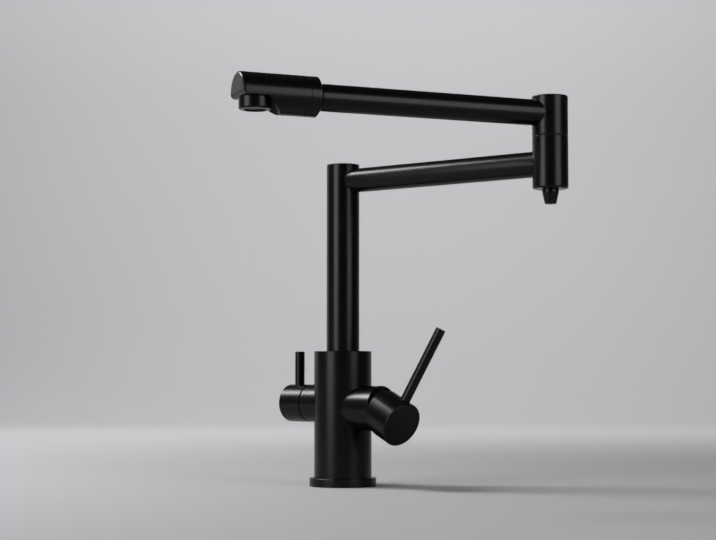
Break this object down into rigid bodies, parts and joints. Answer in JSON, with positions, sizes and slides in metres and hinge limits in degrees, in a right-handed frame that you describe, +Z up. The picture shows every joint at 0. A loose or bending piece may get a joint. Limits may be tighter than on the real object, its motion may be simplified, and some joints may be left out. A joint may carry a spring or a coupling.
{
  "type": "kitchen faucet",
  "caption": "Deck-mounted kitchen faucet with a folding double-jointed swivel spout, a tilting mixer lever, a filtered-water lever and a filtered-water nozzle, in satin black.",
  "frame": {"origin": "on the deck surface, on the valve body's axis, at the top of the mounting shank's collar", "axes": "+Z up along the valve body and riser, +X towards the mixer lever, -Y towards the sink"},
  "size_m": [0.2876, 0.2624, 0.3764],
  "materials": {
    "black_coat": "satin black coat",
    "black_plastic": "matte",
    "brass": "machined",
    "steel": "machined",
    "rubber": "matte",
    "white_plastic": "moulded",
    "grey_plastic": "moulded",
    "ceramic": "lapped ceramic"
  },
  "bodies": {
    "valve_base": {"valve_body": "black_coat", "base_flange": "black_coat", "base_seal": "rubber", "mounting_shank": "brass", "mixer_cartridge_seal": "rubber", "mixer_cartridge_base": "white_plastic", "mixer_cartridge_housing": "white_plastic", "mixer_fixed_disc": "ceramic", "mixer_nut": "brass", "mixer_dome": "black_plastic", "filter_seat_seal": "rubber", "filter_valve_housing": "brass", "filter_fixed_disc": "ceramic", "riser_slip_ring": "black_plastic", "riser_retaining_screw": "steel"},
    "lock_nut_set": {"lock_nut": "brass", "clamp_washer": "steel", "rubber_washer": "rubber"},
    "mixer_carrier": {"mixer_carrier": "white_plastic", "mixer_pivot_pin": "steel"},
    "mixer_disc": {"mixer_moving_disc": "ceramic"},
    "mixer_handle": {"mixer_stem": "steel", "mixer_cap": "black_coat", "mixer_rod": "black_coat", "mixer_grub_screw": "steel"},
    "filter_handle": {"filter_stem": "brass", "filter_moving_disc": "ceramic", "filter_cap": "black_coat", "filter_rod": "black_coat", "filter_grub_screw": "steel"},
    "riser_arm": {"riser_tube": "black_coat", "riser_cap": "black_coat", "riser_spigot": "brass", "riser_o_rings": "rubber", "lower_arm_tube": "black_coat", "lower_hub": "black_coat", "lower_hub_plug": "black_coat", "filter_tube": "white_plastic", "filter_nozzle": "black_coat", "elbow_pivot": "brass", "elbow_o_rings": "rubber", "elbow_washer": "black_plastic", "elbow_retaining_ring": "steel"},
    "upper_arm": {"upper_hub": "black_coat", "upper_hub_cap": "black_coat", "upper_arm_tube": "black_coat", "spout_collar": "black_coat", "spout_head": "black_coat", "aerator_housing": "black_coat", "aerator_insert": "grey_plastic", "aerator_washer": "rubber"}
  },
  "joints": [
    {"name": "lock_nut_slide", "type": "slide", "parent": "valve_base", "child": "lock_nut_set", "axis": [0, 0, -1], "range_m": [0, 0.036]},
    {"name": "mixer_turn", "type": "hinge", "parent": "valve_base", "child": "mixer_carrier", "pos_m": [0.0417, 0, 0.0676], "axis": [1, 0, 0], "range_deg": [-37.5, 62.5]},
    {"name": "mixer_lift", "type": "hinge", "parent": "mixer_carrier", "child": "mixer_handle", "pos_m": [0.0417, 0, 0.0676], "axis": [0, 0.9763, -0.2164], "range_deg": [-25, 0]},
    {"name": "mixer_disc_slide", "type": "slide", "parent": "mixer_carrier", "child": "mixer_disc", "axis": [0, 0.2164, 0.9763], "range_m": [-0.004, 0]},
    {"name": "filter_turn", "type": "hinge", "parent": "valve_base", "child": "filter_handle", "pos_m": [-0.053, 0, 0.0714], "axis": [1, 0, 0], "range_deg": [0, 90]},
    {"name": "riser_swivel", "type": "hinge", "parent": "valve_base", "child": "riser_arm", "pos_m": [0, 0, 0.1178], "axis": [0, 0, 1], "continuous": true},
    {"name": "elbow_swivel", "type": "hinge", "parent": "riser_arm", "child": "upper_arm", "pos_m": [0.21005, 0.02004, 0.2872], "axis": [0, 0, 1], "continuous": true}
  ],
  "couplings": [
    {"joint": "mixer_disc_slide", "follows": "mixer_lift", "m_per_rad": 0.009008}
  ]
}
